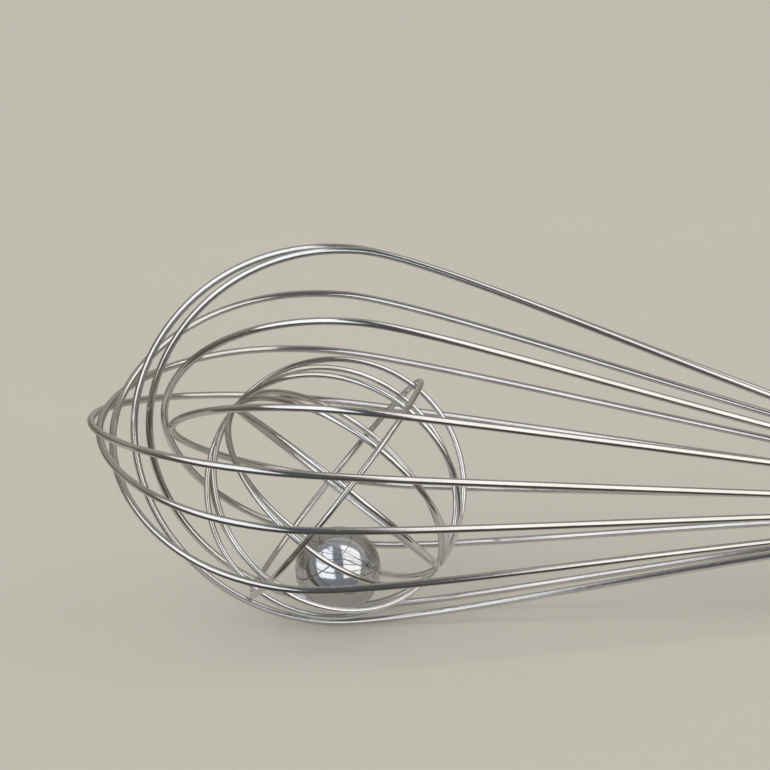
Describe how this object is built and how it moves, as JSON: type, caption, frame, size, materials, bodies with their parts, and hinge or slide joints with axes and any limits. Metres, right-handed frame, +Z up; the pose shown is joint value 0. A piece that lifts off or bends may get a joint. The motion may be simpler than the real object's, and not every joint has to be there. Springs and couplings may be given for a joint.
{
  "type": "balloon whisk",
  "caption": "Balloon whisk of nested polished wire loops on a tubular steel handle, with a loose round wire cage in the balloon and a steel ball rolling in the cage.",
  "frame": {"origin": "middle of the bounding box on the floor, with the whisk lying on its two lowest wires and its handle", "axes": "+Z up, +X along the whisk from the balloon's tip towards the handle"},
  "size_m": [0.3102, 0.0784, 0.078],
  "materials": {
    "balloon_wire": "polished stainless steel wire",
    "cage_wire": "polished stainless steel wire",
    "weld": "satin weld metal",
    "ball": "mirror polished steel",
    "handle": "brushed stainless steel",
    "resin": "cast grey resin",
    "hang_wire": "polished stainless steel wire"
  },
  "bodies": {
    "whisk": {"balloon_wire_1": "balloon_wire", "balloon_wire_2": "balloon_wire", "balloon_wire_3": "balloon_wire", "balloon_wire_4": "balloon_wire", "balloon_wire_5": "balloon_wire", "balloon_wire_6": "balloon_wire", "balloon_wire_7": "balloon_wire", "handle_tube": "handle", "core_plug": "resin", "end_plug": "handle", "hanging_loop": "hang_wire"},
    "cage": {"cage_rib_1": "cage_wire", "cage_rib_2": "cage_wire", "cage_rib_3": "cage_wire", "cage_rib_4": "cage_wire", "cage_rib_5": "cage_wire", "cage_rib_6": "cage_wire", "cage_rib_7": "cage_wire", "cage_rib_8": "cage_wire", "cage_rib_9": "cage_wire", "cage_rib_10": "cage_wire", "cage_rib_11": "cage_wire", "cage_rib_12": "cage_wire", "cage_equator_ring": "cage_wire", "cage_pole_weld_1": "weld", "cage_pole_weld_2": "weld"},
    "ball": {"ball": "ball"}
  },
  "joints": [
    {"name": "cage_spin", "type": "hinge", "parent": "whisk", "child": "cage", "pos_m": [-0.10561, -0.00001, 0.02824], "axis": [0.7537, -0.0096, -0.6572], "continuous": true},
    {"name": "ball_roll", "type": "hinge", "parent": "cage", "child": "ball", "pos_m": [-0.10561, -0.00001, 0.02824], "axis": [0, 1, 0], "continuous": true}
  ]
}
